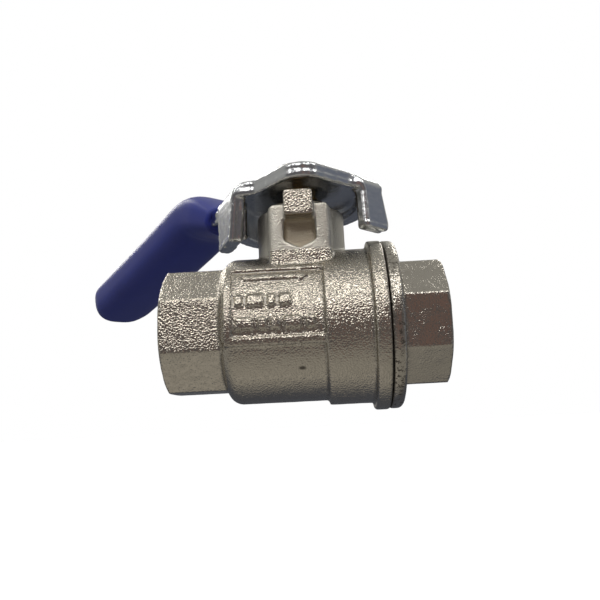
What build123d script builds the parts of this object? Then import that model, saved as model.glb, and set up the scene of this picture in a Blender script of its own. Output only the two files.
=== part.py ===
from build123d import *
import os
from math import cos, radians, sin, sqrt

# Quarter-inch lever ball valve, two-piece nickel-plated brass, all sizes in millimetres.
# X runs along the pipe from the centre of the inlet's face, Z is up along the stem, and the lever
# stands half open, between closed (square to the pipe) and open (along the pipe, over the inlet).

# --- Driving dimensions ---------------------------------------------------------------------------
length = 45.5                       # face to face
flats = 20.0                        # across the flats of both octagonal ends
stem_x = length / 2                 # the stem's axis

# Ports: G 1/4 pipe threads, bored plain at the thread's major radius
port_radius = 6.58
port_depth = 10.5
port_lead_in = 0.4                  # chamfer at the mouth
waterway = 5.0                      # radius of the full bore

# Body, along X
inlet_end = 9.61                    # end of the inlet octagon
barrel_radius = 12.15
barrel_step = 26.08                 # where the barrel thickens
barrel_thick_radius = 12.9
collar_x = 33.45
collar_radius = 14.06
joint_x = 35.83                     # the plane where body and cap meet
shoulder_round = 2.4
end_face_radius = 10.05             # a cone takes off an octagon's corners outside this radius
end_cone = 0.45                     # length of that cone

# End cap
flange_end = 38.03
flange_radius = 13.95
cap_turn = 5.9                      # degrees that the cap's octagon stops short of the body's
nose_x = 28.55                       # inner end of the cap's threaded nose
nose_radius = 9.95
nose_bore = 10.0                    # the body's bore for it

# Ball and seats
ball_radius = 8.2
cavity_radius = 8.8
seat_gap = 0.05                     # between the ball and a seat's hollow
seat_radius = 8.2
seat_near = 5.2                     # a seat's ball-side face, from the stem's axis
seat_far = 8.0
seat_inner_x = stem_x - seat_far    # the inlet seat's back, against the body's ledge
seal_depth = 1.2                    # counterbore for the joint seal
seal_radius = 11.0
seat_pocket = 2.2                   # depth of the pocket that holds a seat
slot_width = 3.1
slot_floor = 6.0                    # height of the slot's floor in the ball

# Neck and stop lug
neck_radius = 7.46
neck_top = 19.3
pad_width = 10.4                    # flat pad on the neck's front
pad_front = 8.6
pad_corner = 1.5                    # round of its top corners
pad_edge_round = 1.2                # round along its front edge
lug_width = 4.7
lug_front = 11.0
lug_bottom = 16.7
lug_top = 20.8
recess_low = 11.9                   # the cast hollow under the lug
recess_side = 13.2
recess_half = 2.6
recess_depth = 1.4

# Stem and its seals
stem_radius = 3.0
stem_bore = 3.1
stem_flats = 4.4                    # across the two flats that drive the lever
thread_radius = 2.5                 # M5
stem_top = 28.9
head_radius = 4.2
head_bottom = 9.2
head_top = 10.4
washer_top = 11.4
packing_bottom = 13.4
packing_step = 1.5
packing_bore = 4.6
gland_top = 21.2
gland_radius = 5.4
o_ring_height = 12.4
o_ring_section = 0.55
o_ring_radius = 2.5

# Lever
plate = 2.4                         # thickness of the steel
plate_bottom = 22.3
plate_top = plate_bottom + plate
lever_bearing = 132.0               # direction of the lever about the stem, degrees from +X
strip_half = 9.3                    # from the lever's middle line to the strip's side
strip_end = 11.0                    # from the stem's axis to the strip's end
arm_half = 6.0                      # half the arm's width inside the sleeve
arm_knee = 30.0                     # the highest point of the arm, out from the stem's axis
arm_knee_height = 27.4
arm_end = 69.0
arm_end_height = 17.95
hub_nose_round = 4.2                # rounds of the hub's outline, at its nose and beside its tabs
hub_side_round = 2.5
sleeve_width = 14.8
sleeve_height = 9.0
sleeve_round = 3.6
sleeve_tip_round = 6.0
sleeve_start = 19.0
sleeve_end = 77.0
left_tab_faces = 204.0              # bearing that a stop tab faces
left_tab_out = 12.35                # from the stem's axis to the tab's outer face
left_tab_start = -0.2               # along the face, from the point nearest the stem's axis
left_tab_end = 9.2
left_tab_bottom = 14.8
right_tab_faces = 315.0
right_tab_out = 12.4
right_tab_start = -2.8
right_tab_end = -7.8
right_tab_bottom = 15.9
bend_round = 2.2                    # outer round where the steel bends down into a tab
bend_margin = 1.5                   # how far the round runs out past a tab's sides
back_radius = 12.2                  # turned-down rim round the back of the hub
back_start = -6.0                   # bearings between which it runs, deeper past the step
back_step = 110.0
back_end = 170.0
back_high = 20.4
back_low = 16.8
lock_washer_height = 0.8
nut_height = 2.7
nut_flats = 8.0

os.makedirs("parts", exist_ok=True)

stem_axis = Axis((stem_x, 0, 0), (0, 0, 1))
arm_plane = Plane(
    origin=(stem_x, 0, 0),
    x_dir=(cos(radians(lever_bearing)), sin(radians(lever_bearing)), 0),
    z_dir=(sin(radians(lever_bearing)), -cos(radians(lever_bearing)), 0),
)


# --- Shared operations, each working on the part that is open ---------------------------------------
def turn(outline, mode=Mode.ADD):
    """Revolve a closed outline of (x, radius) points about the pipe's axis."""
    with BuildSketch(Plane.XY) as section:
        with BuildLine():
            Polyline(*outline, close=True)
        make_face()
    revolve(section.sketch, axis=Axis.X, mode=mode)


def octagon_end(face, inner, turned_by):
    """An octagonal end from its outer face to a hidden inner plane, corners coned at the face."""
    inward = 1 if inner > face else -1
    corner = flats / 2 / cos(radians(22.5)) + 0.01
    with BuildSketch(Plane.YZ.offset(face)) as section:
        RegularPolygon(flats / 2, 8, major_radius=False, rotation=22.5 + turned_by)
    extrude(section.sketch, amount=inner - face)
    cone = [
        (face, 0),
        (face, end_face_radius),
        (face + inward * end_cone, corner),
        (inner, corner),
        (inner, 0),
    ]
    turn(cone, Mode.INTERSECT)


def port(face, inward):
    """A threaded port's bore from the pipe end at face, down to the waterway."""
    lead_in = face + inward * port_lead_in
    drill_point = face + inward * port_depth
    bottom = drill_point + inward * (port_radius - waterway) * 0.6
    bore = [
        (face, 0),
        (face, port_radius + port_lead_in),
        (lead_in, port_radius),
        (drill_point, port_radius),
        (bottom, waterway),
        (bottom, 0),
    ]
    turn(bore, Mode.SUBTRACT)


def post(radius, bottom, top, mode=Mode.ADD):
    """A round post on the stem's axis, or a bore with Mode.SUBTRACT."""
    with BuildSketch(Plane.XY.offset(bottom)) as section:
        with Locations((stem_x, 0)):
            Circle(radius)
    extrude(section.sketch, amount=top - bottom, mode=mode)


def double_flat(radius, across, bottom, top, mode=Mode.ADD):
    """A round post or hole on the stem's axis with two flats, square to the lever's direction."""
    with BuildSketch(Plane.XY.offset(bottom)) as section:
        with Locations(Location((stem_x, 0, 0), (0, 0, lever_bearing))):
            Circle(radius)
            Rectangle(2 * radius, across, mode=Mode.INTERSECT)
    extrude(section.sketch, amount=top - bottom, mode=mode)


def ring(outer, inner, bottom, top):
    """A flat ring on the stem's axis."""
    post(outer, bottom, top)
    post(inner, bottom, top, Mode.SUBTRACT)


def edge_point(faces, out, along):
    """A point on a line that faces a bearing, out from the stem's axis, along towards lower bearings."""
    facing = radians(faces)
    return (
        stem_x + out * cos(facing) + along * sin(facing),
        out * sin(facing) - along * cos(facing),
    )


def tab(faces, out, outline):
    """A stop tab of the lever: an upright plate from an outline of (along, height) points."""
    facing = radians(faces)
    face = Plane(
        origin=(*edge_point(faces, out, 0), 0),
        x_dir=(sin(facing), -cos(facing), 0),
        z_dir=(-cos(facing), -sin(facing), 0),
    )
    with BuildSketch(face) as section:
        with BuildLine():
            Polyline(*outline, close=True)
        make_face()
    extrude(section.sketch, amount=plate)


def round_off(faces, out, start, end):
    """Round the outer top edge of a stop tab, over its whole width."""
    facing = radians(faces)
    across = Plane(
        origin=(*edge_point(faces, 0, min(start, end) - bend_margin), 0),
        x_dir=(cos(facing), sin(facing), 0),
        z_dir=(sin(facing), -cos(facing), 0),
    )
    middle = (out - bend_round, plate_top - bend_round)
    with BuildSketch(across) as corner:
        with Locations(middle):
            Rectangle(bend_round + 1, bend_round + 1, align=(Align.MIN, Align.MIN))
            Circle(bend_round, mode=Mode.SUBTRACT)
    extrude(corner.sketch, amount=abs(end - start) + 2 * bend_margin, mode=Mode.SUBTRACT)


def rim(start, end, bottom):
    """One stretch of the lever's turned-down rim, between two bearings about the stem."""
    with BuildSketch(Plane.XY.offset(bottom)) as section:
        with BuildLine():
            outer = CenterArc((stem_x, 0), back_radius - 0.1, start, end - start)
            inner = CenterArc((stem_x, 0), back_radius - plate, start, end - start)
            Line(outer @ 0, inner @ 0)
            Line(outer @ 1, inner @ 1)
        make_face()
    extrude(section.sketch, amount=plate_bottom + 0.6 - bottom)


def finish(piece, name):
    """Label a piece and write it."""
    piece.part.label = name
    export_step(piece.part, f"parts/{name}.step")


# --- Body -----------------------------------------------------------------------------------------
panel_left = 10.55
panel_right = barrel_step + 0.01
panel_low = -3.9
panel_high = 9.5
panel_rise = 0.45
strip = 1.2                         # width of the panel's border
arrow_start = 13.5                  # the flow arrow's shaft, then its head
arrow_length = 8.4
arrow_height = 7.0
bar_start = 12.5                    # two rows of bars, by height and by the bars' widths
bar_tall = 1.7
bar_gap = 0.8
bar_rows = ((3.0, (1.0, 2.4, 1.0, 1.6)), (-0.6, (2.6, 1.2, 1.2, 2.6, 1.2)))

cavity = [
    (seat_inner_x, 0),
    (seat_inner_x, seat_radius),
    (seat_inner_x + seat_pocket, seat_radius),
    (seat_inner_x + seat_pocket, cavity_radius),
    (nose_x - 0.2, cavity_radius),
    (nose_x - 0.2, nose_bore),
    (joint_x - seal_depth, nose_bore),
    (joint_x - seal_depth, seal_radius),
    (joint_x, seal_radius),
    (joint_x, 0),
]

with BuildPart() as body:
    octagon_end(0, inlet_end + 3, 0)
    # barrel with its rounded shoulder, its step and the collar that meets the cap
    with BuildSketch(Plane.XY) as barrel:
        with BuildLine():
            Polyline(
                (inlet_end, 0),
                (inlet_end, barrel_radius),
                (barrel_step, barrel_radius),
                (barrel_step, barrel_thick_radius),
                (collar_x, barrel_thick_radius),
                (collar_x, collar_radius),
                (joint_x, collar_radius),
                (joint_x, 0),
                close=True,
            )
        make_face()
        outer = barrel.vertices().filter_by(lambda v: v.Y > 1).sort_by(Axis.X)
        fillet(outer[0], shoulder_round)
        outer = barrel.vertices().filter_by(lambda v: v.Y > barrel_radius - 0.01).sort_by(Axis.X)
        fillet(outer[1:], 0.35)
    revolve(axis=Axis.X)
    # neck, with a flat pad on its front that carries the stop lug
    post(neck_radius, 0, neck_top)
    with BuildSketch(Plane.XZ) as pad_outline:
        with Locations((stem_x, neck_top / 2)):
            Rectangle(pad_width, neck_top)
        fillet(pad_outline.vertices().group_by(Axis.Y)[-1], pad_corner)
    with BuildSketch(Plane.XY) as pad_plan:
        with Locations((stem_x, -pad_front / 2)):
            Rectangle(pad_width, pad_front)
        fillet(pad_plan.vertices().group_by(Axis.Y)[0], pad_edge_round)
    pad_deep = extrude(pad_outline.sketch, amount=pad_front, mode=Mode.PRIVATE)
    pad_tall = extrude(pad_plan.sketch, amount=neck_top, mode=Mode.PRIVATE)
    add(pad_deep & pad_tall)
    with BuildSketch(Plane.XZ.offset(pad_front)):
        with BuildLine():
            Polyline(
                (stem_x - lug_width / 2, lug_bottom),
                (stem_x - recess_half, recess_side),
                (stem_x, recess_low),
                (stem_x + recess_half, recess_side),
                (stem_x + lug_width / 2, lug_bottom),
                close=True,
            )
        make_face()
    extrude(amount=-recess_depth, mode=Mode.SUBTRACT)
    lug_root = neck_radius - 1
    with BuildSketch(Plane.XZ.offset(lug_root)):
        with Locations((stem_x, (lug_bottom + lug_top) / 2)):
            RectangleRounded(lug_width, lug_top - lug_bottom, 0.5)
    extrude(amount=lug_front - lug_root)
    # raised label panel on the front: a border with generic marks inside it
    panel_width = panel_right - panel_left
    panel_height = panel_high - panel_low
    with BuildSketch(Plane.XZ) as label:
        with Locations(((panel_left + panel_right) / 2, (panel_low + panel_high) / 2)):
            Rectangle(panel_width, panel_height)
        with Locations(((panel_left + strip + panel_right) / 2, (panel_low + panel_high) / 2)):
            Rectangle(panel_width - strip, panel_height - 2 * strip, mode=Mode.SUBTRACT)
        with Locations((arrow_start + arrow_length / 2, arrow_height)):
            Rectangle(arrow_length, 0.9)
        with Locations((arrow_start + arrow_length + 0.9, arrow_height)):
            Triangle(a=1.8, B=60, C=60, rotation=-90)
        for row, widths in bar_rows:
            bar_left = bar_start
            for width in widths:
                with Locations((bar_left + width / 2, row)):
                    Rectangle(width, bar_tall)
                bar_left += width + bar_gap
    with BuildSketch(Plane.YZ.offset(panel_left)) as skin:
        Circle(barrel_radius + panel_rise)
        Circle(barrel_radius - 0.3, mode=Mode.SUBTRACT)
    raised = extrude(label.sketch, amount=20, mode=Mode.PRIVATE)
    band = extrude(skin.sketch, amount=panel_right - panel_left, mode=Mode.PRIVATE)
    add(raised & band)
    # ports, cavity and the bores above it
    port(0, 1)
    turn([(0, 0), (0, waterway), (joint_x, waterway), (joint_x, 0)], Mode.SUBTRACT)
    turn(cavity, Mode.SUBTRACT)
    post(head_radius + 0.2, 0, washer_top, Mode.SUBTRACT)
    post(stem_bore, 0, neck_top, Mode.SUBTRACT)
    post(packing_bore, packing_bottom, neck_top, Mode.SUBTRACT)

finish(body, "body")

# --- End cap --------------------------------------------------------------------------------------
with BuildPart() as end_cap:
    octagon_end(length, joint_x, cap_turn)
    with BuildSketch(Plane.XY) as flange:
        with BuildLine():
            Polyline(
                (joint_x, 0),
                (joint_x, flange_radius),
                (flange_end, flange_radius),
                (flange_end, 0),
                close=True,
            )
        make_face()
        rims = flange.vertices().filter_by(lambda v: v.Y > 1).sort_by(Axis.X)
        fillet(rims[1], 0.9)
        rims = flange.vertices().filter_by(lambda v: v.Y > 1).sort_by(Axis.X)
        fillet(rims[0], 0.3)
    revolve(axis=Axis.X)
    turn([(nose_x, 0), (nose_x, nose_radius), (joint_x, nose_radius), (joint_x, 0)])
    port(length, -1)
    turn([(nose_x, 0), (nose_x, waterway), (length, waterway), (length, 0)], Mode.SUBTRACT)
    pocket_end = stem_x + seat_far
    turn([(nose_x, 0), (nose_x, seat_radius), (pocket_end, seat_radius), (pocket_end, 0)], Mode.SUBTRACT)

finish(end_cap, "end_cap")

with BuildPart() as joint_seal:
    seal_start = joint_x - seal_depth
    turn([(seal_start, nose_radius), (seal_start, seal_radius), (joint_x, seal_radius), (joint_x, nose_radius)])

finish(joint_seal, "joint_seal")

# --- Ball and seats --------------------------------------------------------------------------------
with BuildPart() as ball:
    with Locations(Location((stem_x, 0, 0), (0, 0, lever_bearing))):
        Sphere(ball_radius)
        Cylinder(waterway, 3 * ball_radius, rotation=(0, 90, 0), mode=Mode.SUBTRACT)
    # slot on top for the stem's tang, square to the ball's bore
    with BuildSketch(Plane.XY.offset(slot_floor)):
        with Locations(Location((stem_x, 0, 0), (0, 0, lever_bearing))):
            Rectangle(slot_width, 3 * ball_radius)
    extrude(amount=ball_radius, mode=Mode.SUBTRACT)

finish(ball, "ball")

hollow = ball_radius + seat_gap
for name, side in (("inlet_seat", -1), ("outlet_seat", 1)):
    near_x = stem_x + side * seat_near
    far_x = stem_x + side * seat_far
    heel_x = stem_x + side * sqrt(hollow**2 - waterway**2)
    with BuildPart() as seat:
        with BuildSketch(Plane.XY):
            with BuildLine():
                edge = Polyline(
                    (heel_x, waterway),
                    (far_x, waterway),
                    (far_x, seat_radius),
                    (near_x, seat_radius),
                    (near_x, sqrt(hollow**2 - seat_near**2)),
                )
                RadiusArc(edge @ 1, edge @ 0, side * hollow)
            make_face()
        revolve(axis=Axis.X)
    finish(seat, name)

# --- Stem and its seals ----------------------------------------------------------------------------
groove_bottom = o_ring_height - o_ring_section - 0.1
groove_top = o_ring_height + o_ring_section + 0.1
with BuildPart() as stem:
    # tang in the ball's slot
    with BuildSketch(Plane.XY.offset(slot_floor + 0.1)):
        with Locations(Location((stem_x, 0, 0), (0, 0, lever_bearing))):
            Circle(head_radius)
            Rectangle(slot_width - 0.1, 3 * head_radius, mode=Mode.INTERSECT)
    extrude(amount=head_bottom - slot_floor - 0.1)
    post(head_radius, head_bottom, head_top)
    post(stem_radius, head_top, plate_bottom)
    double_flat(stem_radius, stem_flats, plate_bottom, plate_top)
    post(thread_radius, plate_top, stem_top)
    chamfer(stem.edges().group_by(Axis.Z)[-1], 0.4)
    # groove for the O-ring
    with BuildSketch(Plane.XY.offset(groove_bottom)):
        with Locations((stem_x, 0)):
            Circle(stem_radius + 1)
            Circle(o_ring_radius - o_ring_section, mode=Mode.SUBTRACT)
    extrude(amount=groove_top - groove_bottom, mode=Mode.SUBTRACT)

finish(stem, "stem")

with BuildPart() as thrust_washer:
    ring(head_radius, stem_radius + 0.05, head_top + 0.03, washer_top)

finish(thrust_washer, "thrust_washer")

with BuildPart() as stem_o_ring:
    with BuildSketch(Plane.XZ) as section:
        with Locations((stem_x + o_ring_radius, o_ring_height)):
            Circle(o_ring_section)
    revolve(axis=stem_axis)

finish(stem_o_ring, "stem_o_ring")

# two packing rings, the upper one on the lower, pressed down by the gland nut
for count, name in enumerate(("packing_ring_lower", "packing_ring_upper")):
    packing_low = packing_bottom + count * packing_step
    with BuildPart() as packing_ring:
        ring(packing_bore, stem_radius + 0.05, packing_low, packing_low + packing_step)
    finish(packing_ring, name)

with BuildPart() as gland_nut:
    thread_low = packing_bottom + 2 * packing_step
    post(packing_bore, thread_low, neck_top)
    post(gland_radius, neck_top, gland_top)
    chamfer(gland_nut.edges().group_by(Axis.Z)[-1], 0.4)
    # two slots for the spanner
    with BuildSketch(Plane.XY.offset(gland_top - 1.1)):
        with Locations((stem_x, 0)):
            Rectangle(1.6, 3 * gland_radius)
    extrude(amount=2, mode=Mode.SUBTRACT)
    post(stem_bore, thread_low, gland_top, Mode.SUBTRACT)

finish(gland_nut, "gland_nut")

# --- Lever ----------------------------------------------------------------------------------------
# The hub is the end of a broad steel strip, with a stop tab bent down from its side and another from
# its end, and a turned-down rim round its back.
side_faces = lever_bearing + 90
end_faces = lever_bearing + 180
nose = edge_point(side_faces, strip_half, -strip_end)

# The arm's middle line, as distance from the stem's axis and height
hub_middle = plate_bottom + plate / 2
arm_line = [(6, hub_middle), (20.0, hub_middle), (arm_knee, arm_knee_height), (arm_end, arm_end_height)]
arm_bends = [8.0, 14.0]
sleeve_path = [(sleeve_start, hub_middle), arm_line[2], (sleeve_end + 1, 15.8)]

with BuildPart() as arm:
    with BuildSketch(arm_plane):
        with BuildLine():
            FilletPolyline(*arm_line, radius=arm_bends)
        trace(line_width=plate)
    extrude(amount=strip_half, both=True)
    # in plan it narrows from the strip's width to the sleeve's
    with BuildSketch(Plane.XY):
        with Locations(Location((stem_x, 0, 0), (0, 0, lever_bearing))):
            Polygon(
                (0, strip_half),
                (10, strip_half),
                (15.5, arm_half),
                (sleeve_end, arm_half),
                (sleeve_end, -arm_half),
                (15.5, -arm_half),
                (10, -strip_half),
                (0, -strip_half),
                align=None,
            )
    extrude(amount=60, mode=Mode.INTERSECT)

with BuildPart() as lever:
    with BuildSketch(Plane.XY.offset(plate_bottom)) as hub:
        with BuildLine():
            Polyline(
                nose,
                edge_point(end_faces, strip_end, -2.2),
                edge_point(right_tab_faces, right_tab_out, right_tab_start),
                edge_point(right_tab_faces, right_tab_out, right_tab_end),
                edge_point(0, back_radius, -3),
                (stem_x, 0),
                edge_point(180, back_radius, 3),
                edge_point(left_tab_faces, left_tab_out, left_tab_end),
                edge_point(left_tab_faces, left_tab_out, left_tab_start),
                edge_point(side_faces, strip_half, 0.5),
                close=True,
            )
        make_face()
        fillet(hub.vertices().sort_by_distance(Vector(*nose))[0], hub_nose_round)
        for beside_tab in (edge_point(side_faces, strip_half, 0.5), edge_point(end_faces, strip_end, -2.2)):
            fillet(hub.vertices().sort_by_distance(Vector(*beside_tab))[0], hub_side_round)
        with BuildLine():
            back = CenterArc((stem_x, 0), back_radius, 0, 180)
            Line(back @ 1, back @ 0)
        make_face()
    extrude(amount=plate)
    rim(back_step, back_end, back_low)
    rim(back_start, back_step, back_high)
    add(arm.part)
    left_outline = [
        (left_tab_start, plate_bottom + 0.6),
        (left_tab_start + 0.1, 20.5),
        (left_tab_start + 1.9, left_tab_bottom + 0.4),
        (left_tab_end - 0.4, left_tab_bottom),
        (left_tab_end, plate_bottom + 0.6),
    ]
    tab(left_tab_faces, left_tab_out, left_outline)
    right_outline = [
        (right_tab_start, plate_bottom + 0.6),
        (right_tab_start, right_tab_bottom + 0.4),
        (right_tab_start - 0.6, right_tab_bottom),
        (right_tab_end + 0.6, right_tab_bottom),
        (right_tab_end, right_tab_bottom + 0.6),
        (right_tab_end, plate_bottom + 0.6),
    ]
    tab(right_tab_faces, right_tab_out, right_outline)
    double_flat(stem_radius + 0.05, stem_flats + 0.1, plate_bottom - 1, plate_top + 1, Mode.SUBTRACT)
    # the steel bends into each tab over a round
    round_off(left_tab_faces, left_tab_out, left_tab_start, left_tab_end)
    round_off(right_tab_faces, right_tab_out, right_tab_start, right_tab_end)

finish(lever, "lever")

with BuildPart() as lever_sleeve:
    with BuildLine(arm_plane) as sleeve_line:
        FilletPolyline(*sleeve_path, radius=14.0)
    with BuildSketch(Plane(sleeve_line.line @ 0, x_dir=arm_plane.z_dir, z_dir=sleeve_line.line % 0)):
        RectangleRounded(sleeve_width, sleeve_height, sleeve_round)
    sweep(path=sleeve_line.line)
    # tip rounded in plan
    with BuildSketch(Plane.XY):
        with Locations(Location((stem_x, 0, 0), (0, 0, lever_bearing))):
            with Locations((sleeve_end / 2, 0)):
                RectangleRounded(sleeve_end, sleeve_width + 0.2, sleeve_tip_round)
    extrude(amount=60, mode=Mode.INTERSECT)
    add(lever.part, mode=Mode.SUBTRACT)

finish(lever_sleeve, "lever_sleeve")

with BuildPart() as lock_washer:
    ring(4.8, thread_radius + 0.2, plate_top, plate_top + lock_washer_height)

finish(lock_washer, "lock_washer")

with BuildPart() as lever_nut:
    nut_bottom = plate_top + lock_washer_height
    with BuildSketch(Plane.XY.offset(nut_bottom)):
        with Locations((stem_x, 0)):
            RegularPolygon(nut_flats / 2, 6, major_radius=False)
    extrude(amount=nut_height)
    post(thread_radius, nut_bottom, nut_bottom + nut_height, Mode.SUBTRACT)

finish(lever_nut, "lever_nut")
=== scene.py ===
from math import cos, hypot, pi, radians, sin, sqrt

import bmesh
import bpy
from mathutils import Matrix, Vector, noise


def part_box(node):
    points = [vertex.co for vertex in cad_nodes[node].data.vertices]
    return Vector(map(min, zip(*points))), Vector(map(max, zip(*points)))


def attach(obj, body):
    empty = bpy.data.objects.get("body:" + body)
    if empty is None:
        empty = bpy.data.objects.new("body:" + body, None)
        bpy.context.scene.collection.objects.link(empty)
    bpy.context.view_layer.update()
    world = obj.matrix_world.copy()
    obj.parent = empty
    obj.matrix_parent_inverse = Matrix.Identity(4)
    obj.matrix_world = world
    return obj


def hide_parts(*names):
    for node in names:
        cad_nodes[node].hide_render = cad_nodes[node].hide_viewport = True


# A quarter-inch lever ball valve: shot-blasted nickel body, bright zinc lever and a navy vinyl sleeve.
# Everything is in metres in the CAD's frame: +X along the pipe, +Z up along the stem.
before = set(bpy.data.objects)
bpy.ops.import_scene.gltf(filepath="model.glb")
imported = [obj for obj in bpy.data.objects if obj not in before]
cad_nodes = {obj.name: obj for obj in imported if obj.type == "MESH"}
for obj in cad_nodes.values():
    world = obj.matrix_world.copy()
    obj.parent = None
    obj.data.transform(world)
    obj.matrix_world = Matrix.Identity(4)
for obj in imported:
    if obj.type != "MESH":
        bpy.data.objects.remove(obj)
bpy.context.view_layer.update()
MM = 0.001


# --- Measures read from the frame -----------------------------------------------------------------
def box(name):
    """A CAD node's lowest and highest corners."""
    low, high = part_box(name)
    return Vector(low), Vector(high)


body_low, body_high = box("body")
nut_low, nut_high = box("lever_nut")
washer_low, washer_high = box("lock_washer")
stem_x = (nut_low.x + nut_high.x) / 2
stem_axis = Vector((stem_x, 0, 0))
joint_x = body_high.x                       # where body and cap meet
face_in = body_low.x                        # the two port faces
face_out = box("end_cap")[1].x


# --- Meshes ---------------------------------------------------------------------------------------
def add_object(name, mesh):
    piece = bpy.data.objects.new(name, mesh)
    bpy.context.scene.collection.objects.link(piece)
    return piece


def clamp01(value):
    return max(0.0, min(1.0, value))


def mesh_from(name, points, faces):
    mesh = bpy.data.meshes.new(name)
    mesh.from_pydata([tuple(p) for p in points], [], faces)
    bm = bmesh.new()
    bm.from_mesh(mesh)
    bmesh.ops.recalc_face_normals(bm, faces=bm.faces)
    bm.to_mesh(mesh)
    bm.free()
    mesh.shade_smooth()
    return mesh


ROUNDER_PASSES = 10
WAVE = 1.6 * MM                             # wavelength of a casting's unevenness


def soften(cad_node, name, voxel, rounding, passes, wobble=0.0, rounder=None):
    """A CAD node's shape as a dense mesh with its edges rounded by about rounding.

    rounder, a function of a point that gives 0 to 1, says where edges are rounded off further.
    wobble is the depth of a slight cast unevenness."""
    source = cad_nodes[cad_node].data.copy()
    bm = bmesh.new()
    bm.from_mesh(source)
    bmesh.ops.remove_doubles(bm, verts=bm.verts, dist=1e-6)
    bm.to_mesh(source)
    bm.free()
    source.materials.clear()
    piece = add_object(name, source)
    even_out(piece, voxel)
    if rounding:
        # drawing the surface in and letting it out again rounds its edges and leaves its faces in place
        push(piece, -rounding)
        even_out(piece, voxel)
        relax(piece, passes)
        push(piece, rounding)
        even_out(piece, voxel)
    relax(piece, passes)
    shaped = baked(piece)
    if rounder:
        group = piece.vertex_groups.new(name="rounder")
        for v in shaped.vertices:
            group.add([v.index], rounder(v.co), "REPLACE")
        relax(piece, ROUNDER_PASSES, group.name)
        shaped = baked(piece)
    shaped.name = name
    if wobble:
        normals = [v.normal.copy() for v in shaped.vertices]
        for v, n in zip(shaped.vertices, normals):
            v.co -= n * wobble * (1 + noise.noise(v.co / WAVE)) / 2
    shaped.shade_smooth()
    return piece


def even_out(piece, voxel):
    remesh = piece.modifiers.new("even", "REMESH")
    remesh.mode = "VOXEL"
    remesh.voxel_size = voxel


def push(piece, distance):
    out = piece.modifiers.new("push", "DISPLACE")
    out.direction = "NORMAL"
    out.mid_level = 0
    out.strength = distance


def relax(piece, passes, group=""):
    smooth = piece.modifiers.new("relax", "SMOOTH")
    smooth.factor = 0.5
    smooth.iterations = passes
    smooth.vertex_group = group


def baked(piece):
    """Apply a piece's modifiers to its mesh."""
    mesh = bpy.data.meshes.new_from_object(piece.evaluated_get(bpy.context.evaluated_depsgraph_get()))
    piece.modifiers.clear()
    piece.data = mesh
    return mesh


def sweep(name, profile, path):
    """Skin a closed profile along an open path: path gives, for each step, where a profile point goes."""
    points = [place(p) for place in path for p in profile]
    n, m = len(profile), len(path)
    faces = []
    for i in range(m - 1):
        for j in range(n):
            k = (j + 1) % n
            faces.append((i * n + j, i * n + k, (i + 1) * n + k, (i + 1) * n + j))
    faces.append(tuple(range(n)))
    faces.append(tuple(reversed(range((m - 1) * n, m * n))))
    return mesh_from(name, points, faces)


def dress(piece, body, cad_node, material):
    """Give a piece its material and its body, and hide the CAD node that it stands for, if any."""
    piece.data.materials.clear()
    piece.data.materials.append(material)
    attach(piece, body)
    if cad_node:
        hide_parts(cad_node)


# --- Material helpers -----------------------------------------------------------------------------
def new_material(name):
    material = bpy.data.materials.new(name)
    material.use_nodes = True
    tree = material.node_tree
    shader = tree.nodes["Principled BSDF"]
    return material, tree, shader


def node(tree, kind, settings=(), **inputs):
    """A shader node, with its settings and the values or links of its inputs by name."""
    made = tree.nodes.new(kind)
    for key, value in dict(settings).items():
        setattr(made, key, value)
    for key, value in inputs.items():
        socket = made.inputs[int(key[1:])] if key[0] == "i" and key[1:].isdigit() else made.inputs[key]
        if isinstance(value, bpy.types.NodeSocket):
            tree.links.new(value, socket)
        else:
            socket.default_value = value
    return made


def place_in_mm(tree, stretch=(1, 1, 1)):
    """The point on the surface in millimetres, as a vector for the textures."""
    where = node(tree, "ShaderNodeTexCoord")
    scale = [1000 * s for s in stretch]
    return node(tree, "ShaderNodeMapping", Vector=where.outputs["Object"], Scale=scale).outputs["Vector"]


def noise_at(tree, place, scale, detail=2.0, roughness=0.55):
    made = node(tree, "ShaderNodeTexNoise", Vector=place, Scale=scale, Detail=detail, Roughness=roughness)
    return made.outputs["Fac"]


def ramp(tree, value, *stops):
    """A colour ramp over stops of (position, colour or grey)."""
    made = node(tree, "ShaderNodeValToRGB", Fac=value)
    elements = made.color_ramp.elements
    while len(elements) < len(stops):
        elements.new(0.5)
    for element, (position, shade) in zip(elements, stops):
        element.position = position
        colour = shade if isinstance(shade, tuple) else (shade,) * 3
        element.color = (*colour, 1)
    return made.outputs["Color"]


def maths(tree, operation, a, b, c=None, clamp=False):
    inputs = {"i0": a, "i1": b}
    if c is not None:
        inputs["i2"] = c
    return node(tree, "ShaderNodeMath", {"operation": operation, "use_clamp": clamp}, **inputs).outputs[0]


def mix(tree, factor, a, b):
    made = node(tree, "ShaderNodeMix", {"data_type": "RGBA"})
    for socket, value in zip((made.inputs[0], made.inputs[6], made.inputs[7]), (factor, a, b)):
        if isinstance(value, bpy.types.NodeSocket):
            tree.links.new(value, socket)
        else:
            socket.default_value = value if socket is made.inputs[0] else (*value, 1)
    return made.outputs[2]


def bump(tree, height, distance, normal=None):
    inputs = {"Height": height, "Distance": distance}
    if normal is not None:
        inputs["Normal"] = normal
    return node(tree, "ShaderNodeBump", **inputs).outputs["Normal"]


def coordinate(tree, axis):
    """One coordinate of the surface point, in metres."""
    where = node(tree, "ShaderNodeTexCoord")
    return node(tree, "ShaderNodeSeparateXYZ", Vector=where.outputs["Object"]).outputs[axis]


def smooth_step(tree, value, start, end):
    made = node(tree, "ShaderNodeMapRange", {"interpolation_type": "SMOOTHSTEP"}, Value=value)
    made.inputs["From Min"].default_value = start
    made.inputs["From Max"].default_value = end
    return made.outputs["Result"]


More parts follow.
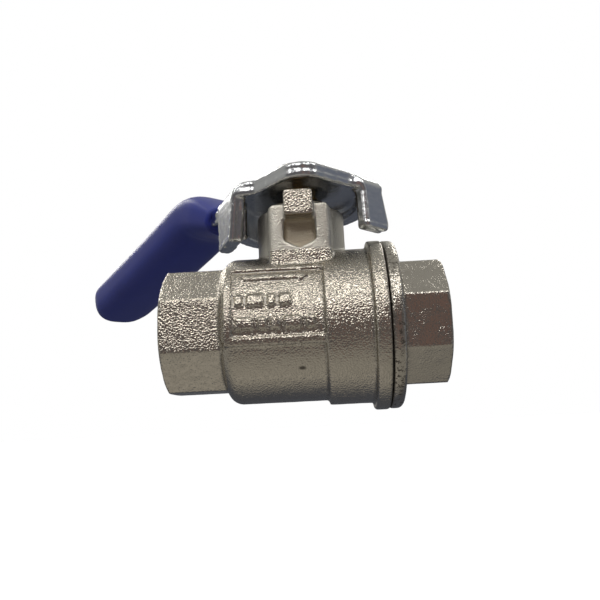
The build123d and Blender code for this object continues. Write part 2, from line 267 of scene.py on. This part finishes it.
def within(tree, *limits):
    """1 where every (value, start, end) has passed its end, 0 where any is before its start."""
    mask = 1.0
    for value, start, end in limits:
        mask = maths(tree, "MULTIPLY", mask, smooth_step(tree, value, start, end))
    return mask


def distance_from(tree, value, middle):
    """How far a value is from a middle one, either way."""
    return maths(tree, "ABSOLUTE", maths(tree, "SUBTRACT", value, middle), 0.0)


def vector_maths(tree, operation, *vectors):
    inputs = {f"i{k}": vector for k, vector in enumerate(vectors)}
    return node(tree, "ShaderNodeVectorMath", {"operation": operation}, **inputs)


def scaled(colour, factor):
    return tuple(min(1, factor * c) for c in colour)


# --- Nickel-plated castings ------------------------------------------------------------------------
GRAIN_SCALE = 3.9                           # of the hammered grain, then of its pits, to the millimetre
PIT_SCALE = 3.6
NECK_NICKEL = (0.59, 0.58, 0.53)
STAINED_NICKEL = (0.54, 0.47, 0.35)
# one dark colour for both the painted shade in the hollows and the real dirt
DIRT_AND_SHADE = (0.06, 0.052, 0.045)
CASTING_PIT = (22.2 * MM, -9.6 * MM, -7.4 * MM)
JOINT_LINE = 0.35 * MM                      # how far dirt spreads from the joint between body and cap
SPECK_STRETCH = 4 * MM                      # the stretch round the joint that has specks of dirt


def nickel(name, grain_depth, base, rough, flat_patches=0.0):
    """Nickel plating over a shot-blasted casting: fine hammered grain, dull patches, painted shade in the
    hollows and in the grain's pits, and dirt at the joint.

    flat_patches is how far the grain fades out in patches, as where a casting was ground."""
    material, tree, shader = new_material(name)
    place = place_in_mm(tree)
    pits = node(
        tree, "ShaderNodeTexVoronoi", {"feature": "SMOOTH_F1"}, Vector=place, Scale=PIT_SCALE, Smoothness=0.15
    ).outputs["Distance"]
    patches = noise_at(tree, place, 0.22, detail=3.0)
    curve = node(tree, "ShaderNodeNewGeometry").outputs["Pointiness"]
    worn = ramp(tree, curve, (0.53, 0.0), (0.60, 1.0))
    # painted shade in the hollows, together with dirt at the joint, in specks and in one pit
    dirt_and_shade = dirt_and_shade_on_casting(tree, place, curve)
    # painted shade, with some dirt: the grain's pits are darkened towards their middles
    shaded_pits = ramp(tree, pits, (0.08, 1.0), (0.26, 0.0))
    neck = on_neck(tree)
    stained = under_lug(tree)

    colour = mix(tree, patches, scaled(base, 0.93), scaled(base, 1.06))
    for mask, share, shade in (
        (worn, 0.4, scaled(base, 1.2)),
        # painted shade in the hollows and real dirt, in one dark colour
        (dirt_and_shade, 0.8, DIRT_AND_SHADE),
        # painted shade and dirt in the grain's pits
        (shaded_pits, 0.55, scaled(base, 0.3)),
        (neck, 0.7, NECK_NICKEL),
        (stained, 0.85, STAINED_NICKEL),
    ):
        colour = mix(tree, maths(tree, "MULTIPLY", mask, share), colour, shade)
    tree.links.new(colour, shader.inputs["Base Color"])
    tree.links.new(maths(tree, "MULTIPLY_ADD", stained, -0.85, 1.0), shader.inputs["Metallic"])

    dull = maths(tree, "MULTIPLY_ADD", patches, 0.08, rough - 0.04)
    dull = maths(tree, "MULTIPLY_ADD", neck, 0.15, dull)
    dull = maths(tree, "MULTIPLY_ADD", dirt_and_shade, 0.3, dull, clamp=True)
    tree.links.new(dull, shader.inputs["Roughness"])

    height = grain_height(tree, place, pits, neck, flat_patches)
    tree.links.new(bump(tree, height, grain_depth), shader.inputs["Normal"])
    return material


def grain_height(tree, place, pits, neck, flat_patches):
    """The hammered grain, calmer on the neck and on the barrel's underside."""
    grain = noise_at(tree, place, GRAIN_SCALE, detail=0.5, roughness=0.6)
    height = maths(tree, "MULTIPLY_ADD", pits, 0.6, grain)
    if flat_patches:
        unground = ramp(tree, noise_at(tree, place, 0.3, detail=2.0), (0.45, 1 - flat_patches), (0.58, 1.0))
        height = maths(tree, "MULTIPLY", height, unground)
    underside = smooth_step(tree, coordinate(tree, "Z"), -3.0 * MM, -6.5 * MM)
    calmer = maths(tree, "MULTIPLY_ADD", neck, -0.4, 1.0)
    calmer = maths(tree, "MULTIPLY_ADD", underside, -0.35, calmer)
    return maths(tree, "MULTIPLY", height, calmer)


def dirt_and_shade_on_casting(tree, place, curve):
    """Painted shade in the hollows, and dirt in the joint between body and cap, in specks beside it, and in one
    pit.
    """
    # painted shade: darker where the surface curves inwards, standing in for the shade in the hollows
    painted_hollow_shade = ramp(tree, curve, (0.43, 1.0), (0.492, 0.0))
    from_joint = distance_from(tree, coordinate(tree, "X"), joint_x)
    line = ramp(tree, maths(tree, "DIVIDE", from_joint, JOINT_LINE), (0.3, 0.9), (1.0, 0.0))
    # the specks lie mostly past the joint, on the cap's flange
    past_joint = maths(tree, "SUBTRACT", coordinate(tree, "X"), joint_x)
    beside = ramp(
        tree, maths(tree, "MULTIPLY_ADD", past_joint, 1 / SPECK_STRETCH, 0.5),
        (0.25, 0.0), (0.5, 1.0), (0.95, 1.0), (1.0, 0.0),
    )
    specks = ramp(tree, noise_at(tree, place, 1.5, detail=4.0, roughness=0.7), (0.53, 0.0), (0.60, 1.0))
    dirt_and_shade = maths(tree, "MULTIPLY", beside, specks)
    for more in (painted_hollow_shade, line, casting_pit(tree)):
        dirt_and_shade = maths(tree, "MAXIMUM", dirt_and_shade, more)
    return dirt_and_shade


def casting_pit(tree):
    """1 in a small black pit low on the barrel's front."""
    where = node(tree, "ShaderNodeTexCoord").outputs["Object"]
    offset = vector_maths(tree, "SUBTRACT", where, CASTING_PIT).outputs["Vector"]
    squashed = vector_maths(tree, "MULTIPLY", offset, (0.5, 0.5, 1)).outputs["Vector"]
    away = vector_maths(tree, "LENGTH", squashed).outputs["Value"]
    return smooth_step(tree, away, 0.4 * MM, 0.12 * MM)


def on_neck(tree):
    """1 on the neck, apart from the lug's front."""
    y, z = coordinate(tree, "Y"), coordinate(tree, "Z")
    lug = within(tree, (y, -9.6 * MM, -10.2 * MM), (z, 15.0 * MM, 16.2 * MM))
    return maths(tree, "SUBTRACT", smooth_step(tree, z, 10.5 * MM, 12.5 * MM), lug, clamp=True)


def under_lug(tree):
    """1 in the hollow below the stop lug, where the plating is thin and brown."""
    x, y, z = (coordinate(tree, axis) for axis in "XYZ")
    return within(
        tree,
        (distance_from(tree, x, stem_x), 2.75 * MM, 2.3 * MM),
        (y, -8.55 * MM, -8.2 * MM), (y, -6.9 * MM, -7.1 * MM),
        (z, 11.4 * MM, 12.2 * MM), (z, 17.2 * MM, 16.8 * MM),
    )


# --- Other materials --------------------------------------------------------------------------------
def zinc(name, base, rough):
    """Bright zinc plating on pressed steel: nearly a mirror, with faint ripples and rub marks."""
    material, tree, shader = new_material(name)
    place = place_in_mm(tree)
    ripple = noise_at(tree, place, 0.45, detail=2.0)
    fine = noise_at(tree, place, 5.0, detail=2.0)
    rubbed = noise_at(tree, place_in_mm(tree, (1, 1, 6)), 0.5, detail=4.0, roughness=0.65)
    colour = mix(tree, rubbed, scaled(base, 0.9), scaled(base, 1.08))
    tree.links.new(colour, shader.inputs["Base Color"])
    tree.links.new(maths(tree, "MULTIPLY_ADD", rubbed, 0.12, rough - 0.05), shader.inputs["Roughness"])
    shader.inputs["Metallic"].default_value = 1.0
    soft = bump(tree, ripple, 0.1 * MM)
    tree.links.new(bump(tree, fine, 0.006 * MM, normal=soft), shader.inputs["Normal"])
    return material


def vinyl(name):
    """Soft navy vinyl, dipped or moulded: semi-gloss, with faint orange peel and scuffs."""
    material, tree, shader = new_material(name)
    place = place_in_mm(tree)
    cloud = noise_at(tree, place, 0.12, detail=3.0)
    scuff = ramp(tree, noise_at(tree, place_in_mm(tree, (1, 1, 4)), 0.8, detail=5.0, roughness=0.7),
                 (0.56, 0.0), (0.72, 1.0))
    colour = mix(tree, cloud, (0.018, 0.031, 0.255), (0.026, 0.043, 0.32))
    colour = mix(tree, maths(tree, "MULTIPLY", scuff, 0.18), colour, (0.10, 0.11, 0.33))
    tree.links.new(colour, shader.inputs["Base Color"])
    tree.links.new(maths(tree, "MULTIPLY_ADD", scuff, 0.15, 0.38), shader.inputs["Roughness"])
    shader.inputs["Specular IOR Level"].default_value = 0.35
    shader.inputs["Sheen Weight"].default_value = 0.11
    shader.inputs["Sheen Roughness"].default_value = 0.5
    peel = noise_at(tree, place, 2.2, detail=2.0)
    tree.links.new(bump(tree, peel, 0.012 * MM), shader.inputs["Normal"])
    return material


def turned_metal(name, base, rough, axis_stretch):
    """Machined metal, with fine tool marks stretched round its axis."""
    material, tree, shader = new_material(name)
    marks = noise_at(tree, place_in_mm(tree, axis_stretch), 2.5, detail=3.0, roughness=0.6)
    cloud = noise_at(tree, place_in_mm(tree), 0.5, detail=3.0)
    colour = mix(tree, cloud, scaled(base, 0.88), scaled(base, 1.08))
    tree.links.new(colour, shader.inputs["Base Color"])
    tree.links.new(maths(tree, "MULTIPLY_ADD", marks, 0.15, rough - 0.05), shader.inputs["Roughness"])
    shader.inputs["Metallic"].default_value = 1.0
    tree.links.new(bump(tree, marks, 0.01 * MM), shader.inputs["Normal"])
    return material


def waxy_plastic(name, light, dark, rough):
    """PTFE or rubber: a slightly uneven, waxy surface."""
    material, tree, shader = new_material(name)
    place = place_in_mm(tree)
    cloud = noise_at(tree, place, 0.6, detail=4.0)
    tree.links.new(mix(tree, cloud, dark, light), shader.inputs["Base Color"])
    tree.links.new(maths(tree, "MULTIPLY_ADD", cloud, 0.15, rough), shader.inputs["Roughness"])
    tree.links.new(bump(tree, noise_at(tree, place, 4.0), 0.01 * MM), shader.inputs["Normal"])
    return material


# --- Finishes ---------------------------------------------------------------------------------------
nickel_body = nickel("nickel_body", 0.10 * MM, (0.55, 0.515, 0.455), 0.18)
nickel_cap = nickel("nickel_cap", 0.08 * MM, (0.51, 0.48, 0.43), 0.19, flat_patches=0.5)
lever_steel = zinc("lever_steel", (0.65, 0.67, 0.70), 0.21)
fastener_steel = zinc("fastener_steel", (0.70, 0.69, 0.66), 0.2)
sleeve_plastic = vinyl("sleeve_plastic")
ball_chrome = turned_metal("ball_chrome", (0.80, 0.81, 0.83), 0.08, (0.3, 0.3, 6))
stem_brass = turned_metal("stem_brass", (0.78, 0.60, 0.32), 0.25, (0.4, 0.4, 8))
gland_brass = turned_metal("gland_brass", (0.60, 0.56, 0.48), 0.25, (0.4, 0.4, 8))
seat_ptfe = waxy_plastic("seat_ptfe", (0.86, 0.86, 0.83), (0.78, 0.78, 0.74), 0.35)
seal_rubber = waxy_plastic("seal_rubber", (0.035, 0.035, 0.035), (0.02, 0.02, 0.02), 0.5)

# --- Castings and the pressed lever ----------------------------------------------------------------
OCTAGON_END = 9.6 * MM                      # from a port's face to where its octagon meets the barrel
FACE_MARGIN = 0.4 * MM
BORE_WALL = 8.5 * MM                        # nearer the pipe's axis than this is the bore
LABEL_WEAR = 0.4                            # against 1 on the octagons
LABEL_DEPTH = 6 * MM                        # the label lies in front of this and below the next
LABEL_TOP = 11 * MM
RIGHT_TAB_FACES = radians(315)
RIGHT_TAB_ROOT = 22.4 * MM                  # height where it leaves the lever's plate
RIGHT_TAB_INNER = 9.8 * MM                  # only the tab lies further out than this, past this sideways
RIGHT_TAB_NEAR = 2 * MM
RIGHT_TAB_EDGE = 2.8 * MM                   # its nearer edge, sideways from where it faces
RIGHT_TAB_SIZE = 5 * MM                     # its width, and its drop below the root


def worn_edges(point):
    """Where edges are rounded off further: 1 on an octagonal end's sides, some on the label, 0 elsewhere."""
    along = min(point.x - face_in, face_out - point.x)
    off_axis = hypot(point.y, point.z)
    sides = clamp01((OCTAGON_END - along) / MM) * clamp01((along - FACE_MARGIN) / MM)
    label = clamp01((-LABEL_DEPTH - point.y) / MM) * clamp01((LABEL_TOP - point.z) / MM)
    return max(sides * clamp01((off_axis - BORE_WALL) / MM), LABEL_WEAR * label)


def splay_tab(piece):
    """Bend the right stop tab's free end outwards and down a little, as it came from the press."""
    outwards = Vector((cos(RIGHT_TAB_FACES), sin(RIGHT_TAB_FACES), 0))
    sideways = Vector((-sin(RIGHT_TAB_FACES), cos(RIGHT_TAB_FACES), 0))
    for v in piece.data.vertices:
        out, side = (v.co - stem_axis).dot(outwards), (v.co - stem_axis).dot(sideways)
        if out > RIGHT_TAB_INNER and side > RIGHT_TAB_NEAR:
            low = clamp01((RIGHT_TAB_ROOT - v.co.z) / RIGHT_TAB_SIZE)
            far = clamp01((side - RIGHT_TAB_EDGE) / RIGHT_TAB_SIZE)
            v.co += (sideways * (0.9 * far) + outwards * 0.3 - Vector((0, 0, 0.6))) * low * MM


casting = soften("body", "body_casting", 0.21 * MM, 0, 2, wobble=0.04 * MM, rounder=worn_edges)
dress(casting, "valve", "body", nickel_body)
cap = soften("end_cap", "end_cap_casting", 0.24 * MM, 0, 2, wobble=0.03 * MM, rounder=worn_edges)
dress(cap, "valve", "end_cap", nickel_cap)
lever = soften("lever", "lever_pressing", 0.2 * MM, 0.55 * MM, 3)
splay_tab(lever)
dress(lever, "handle", "lever", lever_steel)
gland = soften("gland_nut", "gland_nut_turned", 0.15 * MM, 0, 2)
dress(gland, "valve", "gland_nut", gland_brass)

# --- Port threads ----------------------------------------------------------------------------------
PITCH = 1.337 * MM
THREAD_ROOT = 6.62 * MM
THREAD_CREST = 5.76 * MM
THREAD_LENGTH = 9.6 * MM
THREAD_START = 0.7 * MM                     # from the port's face
THREAD_STEPS = 72                           # in one turn
THREAD_FADE = 30                            # steps over which it fades out


def port_thread(name, face, inward):
    """The ridge of a pipe thread, wound round a port's wall, fading out at both ends."""
    steps = int(THREAD_LENGTH / PITCH * THREAD_STEPS)
    # half-width along the pipe against height, with rounded crest and flanks at 27.5 degrees
    profile = [(-0.66, 0), (-0.30, 0.7), (-0.17, 0.93), (0, 1), (0.17, 0.93), (0.30, 0.7), (0.66, 0), (0, -0.15)]

    def at(step):
        turns = step / THREAD_STEPS
        angle = 2 * pi * turns
        fade = min(1, step / THREAD_FADE, (steps - step) / THREAD_FADE)

        def place(p):
            across = p[0] * (0.55 + 0.45 * fade)
            along = face + inward * (THREAD_START + PITCH * (turns + across))
            radius = THREAD_ROOT - (THREAD_ROOT - THREAD_CREST) * p[1] * fade
            return Vector((along, radius * cos(angle), inward * radius * sin(angle)))

        return place

    return add_object(name, sweep(name, profile, [at(i) for i in range(steps + 1)]))


dress(port_thread("inlet_thread", face_in, 1), "valve", None, nickel_body)
dress(port_thread("outlet_thread", face_out, -1), "valve", None, nickel_cap)

# --- Sleeve ----------------------------------------------------------------------------------------
LEVER_BEARING = radians(132)
OUTWARD = Vector((cos(LEVER_BEARING), sin(LEVER_BEARING), 0))
SIDEWAYS = Vector((sin(LEVER_BEARING), -cos(LEVER_BEARING), 0))
SLEEVE_HALF = 7.4 * MM                      # half its width and half its thickness
SLEEVE_THICK = 4.45 * MM
SLEEVE_START = 19.0 * MM                    # distances from the stem's axis
SLEEVE_END = 77.0 * MM
NOSE_WIDE = 7.2 * MM                        # how far from the tip its rounding starts, seen from above
NOSE_DEEP = 3.6 * MM                        # and from the side
LIP = (0.3 * MM, 6.1 * MM, 1.3 * MM)        # the open end's inner edge: depth, half width, half thickness
# middle line in the lever's upright plane, in millimetres: distance from the stem and height
LINE = [(19.0, 23.4), (24.0, 25.6), (29.0, 28.3), (36.0, 25.9), (50.0, 22.3), (63.0, 19.2), (77.0, 15.9)]
LINE_STEPS = 90
AROUND = 64


def sleeve():
    """The vinyl sleeve: a flat tube that swells to its full size at the hump and ends in a soft nose."""
    points, faces = [], []
    curve = smooth_line([Vector((a * MM, 0, b * MM)) for a, b in LINE], LINE_STEPS)
    for centre, along in curve:
        up = Vector((-along.z, 0, along.x))
        past_start = centre.x - SLEEVE_START
        wide, deep = nose_size(centre.x)
        half = SLEEVE_HALF * (0.93 + 0.07 * min(1, past_start / (6 * MM))) * wide
        thick = SLEEVE_THICK * min(1, 0.62 + 0.38 * past_start / (9 * MM)) * deep
        for x, y in superellipse_ring(2.9):
            flat = centre + up * (thick * y)
            points.append(beside_lever(flat.x, half * x, flat.z))
    for i in range(LINE_STEPS - 1):
        for k in range(AROUND):
            j = (k + 1) % AROUND
            faces.append((i * AROUND + k, i * AROUND + j, (i + 1) * AROUND + j, (i + 1) * AROUND + k))
    faces.append(tuple(reversed(range((LINE_STEPS - 1) * AROUND, LINE_STEPS * AROUND))))
    # the open end turns in to the arm
    lip = len(points)
    centre = curve[0][0]
    depth, half, thick = LIP
    for x, y in superellipse_ring(4):
        points.append(beside_lever(centre.x + depth, half * x, centre.z + thick * y))
    for k in range(AROUND):
        j = (k + 1) % AROUND
        faces.append((lip + k, lip + j, j, k))
    faces.append(tuple(range(lip, lip + AROUND)))
    return add_object("sleeve_vinyl", mesh_from("sleeve_vinyl", points, faces))


def beside_lever(out, side, height):
    """A point by its distance from the stem's axis along the lever, to the lever's side, and its height."""
    return stem_axis + OUTWARD * out + SIDEWAYS * side + Vector((0, 0, height))


def superellipse_ring(power):
    return [superellipse(2 * pi * k / AROUND, power) for k in range(AROUND)]


def superellipse(angle, power):
    c, s = cos(angle), sin(angle)
    return (
        (abs(c) ** (2 / power)) * (1 if c >= 0 else -1),
        (abs(s) ** (2 / power)) * (1 if s >= 0 else -1),
    )


def nose_size(out):
    """How much the sleeve's half width and half thickness shrink near its tip."""
    left = SLEEVE_END - out
    return quarter_round(left, NOSE_WIDE, SLEEVE_HALF), quarter_round(left, NOSE_DEEP, SLEEVE_THICK)


def quarter_round(left, reach, half):
    """1 along the sleeve, then a quarter round over the last stretch, which ends at a small flat."""
    if left >= reach:
        return 1
    gone = 1 - max(0, left / reach)
    return max(0.05, 1 - reach / half * (1 - sqrt(1 - gone ** 2)))


def smooth_line(points, count):
    """Points and directions along a smooth curve through the given ones, closer together near its end."""
    spline = bpy.data.curves.new("line", "CURVE")
    spline.dimensions = "3D"
    line = spline.splines.new("NURBS")
    line.points.add(len(points) - 1)
    for p, q in zip(line.points, points):
        p.co = (*q, 1)
    line.order_u = 4
    line.use_endpoint_u = True
    line.resolution_u = 40
    holder = bpy.data.objects.new("line", spline)
    mesh = bpy.data.meshes.new_from_object(holder)
    dense = [v.co.copy() for v in mesh.vertices]
    bpy.data.objects.remove(holder)
    lengths = [0.0]
    for a, b in zip(dense, dense[1:]):
        lengths.append(lengths[-1] + (b - a).length)
    result = []
    for i in range(count):
        t = i / (count - 1)
        target = lengths[-1] * (1 - (1 - t) ** 1.6)
        k = max(j for j, s in enumerate(lengths) if s <= target + 1e-12)
        k = min(k, len(dense) - 2)
        f = (target - lengths[k]) / max(1e-9, lengths[k + 1] - lengths[k])
        here = dense[k].lerp(dense[k + 1], min(1, f))
        result.append((here, (dense[k + 1] - dense[k]).normalized()))
    return result


dress(sleeve(), "handle", "lever_sleeve", sleeve_plastic)


# --- Nut and lock washer ----------------------------------------------------------------------------
NUT_AROUND = 144
NUT_CONE = 0.42 * MM                        # how deep the cone cuts at the corners' ends
CONE_SLOPE = 1.9
NUT_BORE = 2.56 * MM
BORE_LEAD = 0.35 * MM                       # chamfer at the bore's ends
WASHER_BORE = 2.75 * MM
WASHER_ROUND = 0.12 * MM
WASHER_GAP = radians(7)
WASHER_SLANT = radians(9)
WASHER_STEPS = 120


def hex_nut():
    """A hexagon nut with both ends chamfered to a cone, and a smooth bore with a chamfer at each end."""
    flat = (nut_high.y - nut_low.y) / 2
    bottom, top = nut_low.z, nut_high.z
    angles = [2 * pi * k / NUT_AROUND for k in range(NUT_AROUND)]

    def outer(angle, drop):
        """The hexagon's radius, cut by the chamfer cone at a height drop below the end."""
        turned = (angle + pi / 6) % (pi / 3) - pi / 6
        return min(flat / cos(turned), flat + drop * CONE_SLOPE)

    drops = (0, NUT_CONE / 2, NUT_CONE)
    rows = [[(outer(a + pi / 6, drop), bottom + drop) for a in angles] for drop in drops]
    rows += [[(outer(a + pi / 6, drop), top - drop) for a in angles] for drop in reversed(drops)]
    for radius, z in (
        (NUT_BORE + BORE_LEAD, top), (NUT_BORE, top - BORE_LEAD),
        (NUT_BORE, bottom + BORE_LEAD), (NUT_BORE + BORE_LEAD, bottom),
    ):
        rows.append([(radius, z)] * NUT_AROUND)
    points = [
        stem_axis + Vector((radius * cos(a), radius * sin(a), z))
        for row in rows for a, (radius, z) in zip(angles, row)
    ]
    faces = []
    for i in range(len(rows)):
        here, above = i * NUT_AROUND, (i + 1) % len(rows) * NUT_AROUND
        for k in range(NUT_AROUND):
            j = (k + 1) % NUT_AROUND
            faces.append((here + k, here + j, above + j, above + k))
    piece = add_object("hex_nut", mesh_from("hex_nut", points, faces))
    piece.data.shade_flat()
    return piece


def spring_washer():
    """A split lock washer: a square-section ring with a slanting gap."""
    outer_r = (washer_high.x - washer_low.x) / 2
    low, high = washer_low.z, washer_high.z
    profile = []
    for r, z, turn in ((outer_r, low, -1), (outer_r, high, 0), (WASHER_BORE, high, 1), (WASHER_BORE, low, 2)):
        middle_r = r - WASHER_ROUND if r == outer_r else r + WASHER_ROUND
        middle_z = z + WASHER_ROUND if z == low else z - WASHER_ROUND
        for s in range(4):
            a = radians(90 * turn + 30 * s)
            profile.append((middle_r + WASHER_ROUND * cos(a), middle_z + WASHER_ROUND * sin(a)))

    def at(step):
        def place(p):
            slant = WASHER_SLANT * (p[1] - low) / (high - low)
            a = WASHER_GAP / 2 + (2 * pi - WASHER_GAP) * step / WASHER_STEPS + slant
            return stem_axis + Vector((p[0] * cos(a), p[0] * sin(a), p[1]))
        return place

    path = [at(i) for i in range(WASHER_STEPS + 1)]
    return add_object("spring_washer", sweep("spring_washer", profile, path))


dress(hex_nut(), "handle", "lever_nut", fastener_steel)
dress(spring_washer(), "handle", "lock_washer", fastener_steel)

# --- CAD nodes that stay, with their finish ----------------------------------------------------------
for name, finish in {
    "joint_seal": seal_rubber,
    "ball": ball_chrome,
    "inlet_seat": seat_ptfe,
    "outlet_seat": seat_ptfe,
    "stem": stem_brass,
    "thrust_washer": seat_ptfe,
    "stem_o_ring": seal_rubber,
    "packing_ring_lower": seat_ptfe,
    "packing_ring_upper": seat_ptfe,
}.items():
    for slot in cad_nodes[name].material_slots:
        slot.material = finish


# --- Floor, world and camera ------------------------------------------------------------------------
FLOOR_Z = -0.05
FLOOR_REACH = 6.0

# strip lamps: azimuth from straight in front towards +X, and width, in degrees
LAMPS = ((-52, 7), (-25, 5), (-12, 8), (18, 4), (26, 5), (35, 5), (64, 7), (150, 14), (-140, 14))
LAMP_EDGE = 0.7


def floor():
    """White paper that only the camera sees."""
    material, tree, shader = new_material("floor_paper")
    shader.inputs["Base Color"].default_value = (0.92, 0.92, 0.92, 1)
    shader.inputs["Roughness"].default_value = 0.9
    shader.inputs["Emission Color"].default_value = (1, 1, 1, 1)
    shader.inputs["Emission Strength"].default_value = 1.0
    corners = [(-1, -1), (1, -1), (1, 1), (-1, 1)]
    points = [Vector((x * FLOOR_REACH, y * FLOOR_REACH, FLOOR_Z)) for x, y in corners]
    mesh = mesh_from("floor", points, [(0, 1, 2, 3)])
    mesh.materials.append(material)
    plane = add_object("floor", mesh)
    plane.visible_glossy = False
    plane.visible_diffuse = False


def studio():
    """White for the camera; for the surfaces, a pale tent with a darker front and tall strip lamps."""
    world = bpy.data.worlds.new("studio")
    bpy.context.scene.world = world
    world.use_nodes = True
    tree = world.node_tree
    tree.nodes.clear()
    way = node(tree, "ShaderNodeTexCoord").outputs["Generated"]
    split = node(tree, "ShaderNodeSeparateXYZ", Vector=way)
    x, y, z = (split.outputs[axis] for axis in "XYZ")
    front = maths(tree, "MULTIPLY", y, -1.0)
    azimuth = maths(tree, "ARCTAN2", x, front)
    room = room_light(tree, x, z, front, azimuth)
    glow = mix(tree, lamps(tree, z, azimuth), room, (7.0, 6.8, 6.4))
    seen = node(tree, "ShaderNodeLightPath").outputs["Is Camera Ray"]
    colour = mix(tree, seen, glow, (1, 1, 1))
    background = node(tree, "ShaderNodeBackground", Color=colour, Strength=1.0)
    out = tree.nodes.new("ShaderNodeOutputWorld")
    tree.links.new(background.outputs[0], out.inputs[0])


def room_light(tree, x, z, front, azimuth):
    """The tent and its darker parts: low right, beside, behind below the horizon, and in front."""
    light = ramp(
        tree, maths(tree, "MULTIPLY_ADD", z, 0.5, 0.5),
        (0.0, (0.41, 0.385, 0.34)), (0.15, (0.31, 0.295, 0.26)),
        (0.5, (0.36, 0.35, 0.325)), (1.0, (0.40, 0.395, 0.37)),
    )
    low_right = within(tree, (x, -0.05, 0.15), (z, -0.5, -0.8))
    beside = within(
        tree, (azimuth, radians(66), radians(78)), (azimuth, radians(122), radians(106)),
        (z, 0.6, 0.4), (z, -0.4, -0.2),
    )
    behind = within(tree, (front, -0.1, -0.5), (z, 0.1, -0.1))
    facing = within(tree, (front, 0.25, 0.55), (z, -0.75, -0.45), (z, 0.88, 0.78))
    brown = within(tree, (azimuth, radians(3), radians(7)), (azimuth, radians(26), radians(20)))
    dark = mix(tree, brown, (0.13, 0.12, 0.12), (0.215, 0.14, 0.12))
    dark = mix(tree, smooth_step(tree, z, 0.38, 0.5), dark, (0.09, 0.095, 0.12))
    for mask, shade in (
        (low_right, (0.30, 0.285, 0.25)),
        (beside, (0.17, 0.18, 0.21)),
        (behind, (0.085, 0.09, 0.105)),
        (facing, dark),
    ):
        light = mix(tree, mask, light, shade)
    return light


def lamps(tree, z, azimuth):
    """1 on the strip lamps. Those on the right hang a little higher."""
    strips = 0.0
    for middle, width in LAMPS:
        off = distance_from(tree, azimuth, radians(middle))
        lamp = smooth_step(tree, off, radians(width / 2 + LAMP_EDGE), radians(width / 2 - LAMP_EDGE))
        strips = maths(tree, "MAXIMUM", strips, lamp)
    hung = maths(tree, "MULTIPLY_ADD", smooth_step(tree, azimuth, radians(-4), radians(8)), -0.13, z)
    return maths(tree, "MULTIPLY", strips, within(tree, (hung, 0.34, 0.42), (z, 0.84, 0.77)))


def camera():
    """Low in front of the valve, a little right of its middle, looking slightly up."""
    data = bpy.data.cameras.new("camera")
    data.lens = 38.64
    data.sensor_width = 36
    data.clip_start = 0.005
    data.clip_end = 20
    data.dof.use_dof = False
    eye = bpy.data.objects.new("camera", data)
    bpy.context.scene.collection.objects.link(eye)
    turn = Matrix.Rotation(radians(1.754), 4, "Z")
    look_up = Matrix.Rotation(radians(90 + 10.952), 4, "X")
    roll = Matrix.Rotation(radians(-2.807), 4, "Z")
    place = Matrix.Translation((stem_x + 2.56 * MM, -107.49 * MM, -15.85 * MM))
    eye.matrix_world = place @ turn @ look_up @ roll
    bpy.context.scene.camera = eye


floor()
studio()
camera()
bpy.context.scene.view_settings.view_transform = "Standard"
